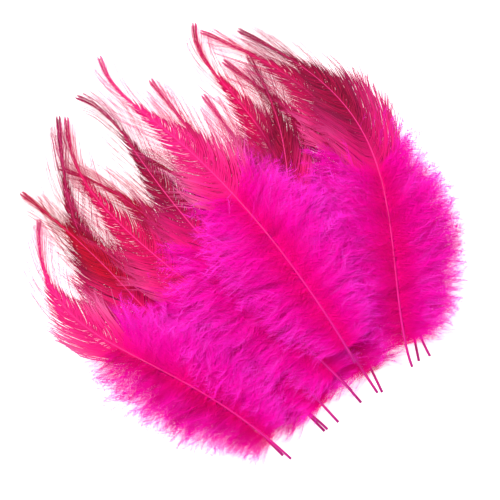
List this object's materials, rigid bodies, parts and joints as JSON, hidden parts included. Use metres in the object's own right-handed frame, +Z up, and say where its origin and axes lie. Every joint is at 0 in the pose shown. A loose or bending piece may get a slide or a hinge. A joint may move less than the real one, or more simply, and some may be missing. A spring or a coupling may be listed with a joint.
{
  "type": "fanned heap of loose craft feathers",
  "caption": "Fanned heap of loose dyed hackle feathers with fluffy down at the quills and pointed tips; each lifts off the ones it lies on.",
  "frame": {"origin": "under the middle of the heap, on the table it lies on", "axes": "+Z up from the table; the quills point towards +X and -Y, the tips towards -X and +Y"},
  "size_m": [0.1646, 0.1658, 0.021],
  "materials": {
    "shaft": "dyed horn, satin",
    "vane": "dyed barbs zipped into a thin web, soft sheen",
    "down": "dyed loose down, matt and fluffy"
  },
  "bodies": {
    "feather_01": {"feather_01_shaft": "shaft", "feather_01_left_vane": "vane", "feather_01_right_vane": "vane", "feather_01_down": "down"},
    "feather_02": {"feather_02_shaft": "shaft", "feather_02_left_vane": "vane", "feather_02_right_vane": "vane", "feather_02_down": "down"},
    "feather_03": {"feather_03_shaft": "shaft", "feather_03_left_vane": "vane", "feather_03_right_vane": "vane", "feather_03_down": "down"},
    "feather_04": {"feather_04_shaft": "shaft", "feather_04_left_vane": "vane", "feather_04_right_vane": "vane", "feather_04_down": "down"},
    "feather_05": {"feather_05_shaft": "shaft", "feather_05_left_vane": "vane", "feather_05_right_vane": "vane", "feather_05_down": "down"},
    "feather_06": {"feather_06_shaft": "shaft", "feather_06_left_vane": "vane", "feather_06_right_vane": "vane", "feather_06_down": "down"},
    "feather_07": {"feather_07_shaft": "shaft", "feather_07_left_vane": "vane", "feather_07_right_vane": "vane", "feather_07_down": "down"},
    "feather_08": {"feather_08_shaft": "shaft", "feather_08_left_vane": "vane", "feather_08_right_vane": "vane", "feather_08_down": "down"},
    "feather_09": {"feather_09_shaft": "shaft", "feather_09_left_vane": "vane", "feather_09_right_vane": "vane", "feather_09_down": "down"},
    "feather_10": {"feather_10_shaft": "shaft", "feather_10_left_vane": "vane", "feather_10_right_vane": "vane", "feather_10_down": "down"},
    "feather_11": {"feather_11_shaft": "shaft", "feather_11_left_vane": "vane", "feather_11_right_vane": "vane", "feather_11_down": "down"},
    "feather_12": {"feather_12_shaft": "shaft", "feather_12_left_vane": "vane", "feather_12_right_vane": "vane", "feather_12_down": "down"},
    "feather_13": {"feather_13_shaft": "shaft", "feather_13_left_vane": "vane", "feather_13_right_vane": "vane", "feather_13_down": "down"},
    "feather_14": {"feather_14_shaft": "shaft", "feather_14_left_vane": "vane", "feather_14_right_vane": "vane", "feather_14_down": "down"},
    "feather_15": {"feather_15_shaft": "shaft", "feather_15_left_vane": "vane", "feather_15_right_vane": "vane", "feather_15_down": "down"}
  },
  "joints": [
    {"name": "feather_02_lift", "type": "slide", "parent": "feather_01", "child": "feather_02", "axis": [0, 0, 1], "range_m": [0, 0.025]},
    {"name": "feather_03_lift", "type": "slide", "parent": "feather_02", "child": "feather_03", "axis": [0, 0, 1], "range_m": [0, 0.025]},
    {"name": "feather_04_lift", "type": "slide", "parent": "feather_03", "child": "feather_04", "axis": [0, 0, 1], "range_m": [0, 0.025]},
    {"name": "feather_05_lift", "type": "slide", "parent": "feather_04", "child": "feather_05", "axis": [0, 0, 1], "range_m": [0, 0.025]},
    {"name": "feather_06_lift", "type": "slide", "parent": "feather_05", "child": "feather_06", "axis": [0, 0, 1], "range_m": [0, 0.025]},
    {"name": "feather_07_lift", "type": "slide", "parent": "feather_06", "child": "feather_07", "axis": [0, 0, 1], "range_m": [0, 0.025]},
    {"name": "feather_08_lift", "type": "slide", "parent": "feather_07", "child": "feather_08", "axis": [0, 0, 1], "range_m": [0, 0.025]},
    {"name": "feather_09_lift", "type": "slide", "parent": "feather_08", "child": "feather_09", "axis": [0, 0, 1], "range_m": [0, 0.025]},
    {"name": "feather_10_lift", "type": "slide", "parent": "feather_09", "child": "feather_10", "axis": [0, 0, 1], "range_m": [0, 0.025]},
    {"name": "feather_11_lift", "type": "slide", "parent": "feather_10", "child": "feather_11", "axis": [0, 0, 1], "range_m": [0, 0.025]},
    {"name": "feather_12_lift", "type": "slide", "parent": "feather_11", "child": "feather_12", "axis": [0, 0, 1], "range_m": [0, 0.025]},
    {"name": "feather_13_lift", "type": "slide", "parent": "feather_12", "child": "feather_13", "axis": [0, 0, 1], "range_m": [0, 0.025]},
    {"name": "feather_14_lift", "type": "slide", "parent": "feather_13", "child": "feather_14", "axis": [0, 0, 1], "range_m": [0, 0.025]},
    {"name": "feather_15_lift", "type": "slide", "parent": "feather_11", "child": "feather_15", "axis": [0, 0, 1], "range_m": [0, 0.025]}
  ]
}
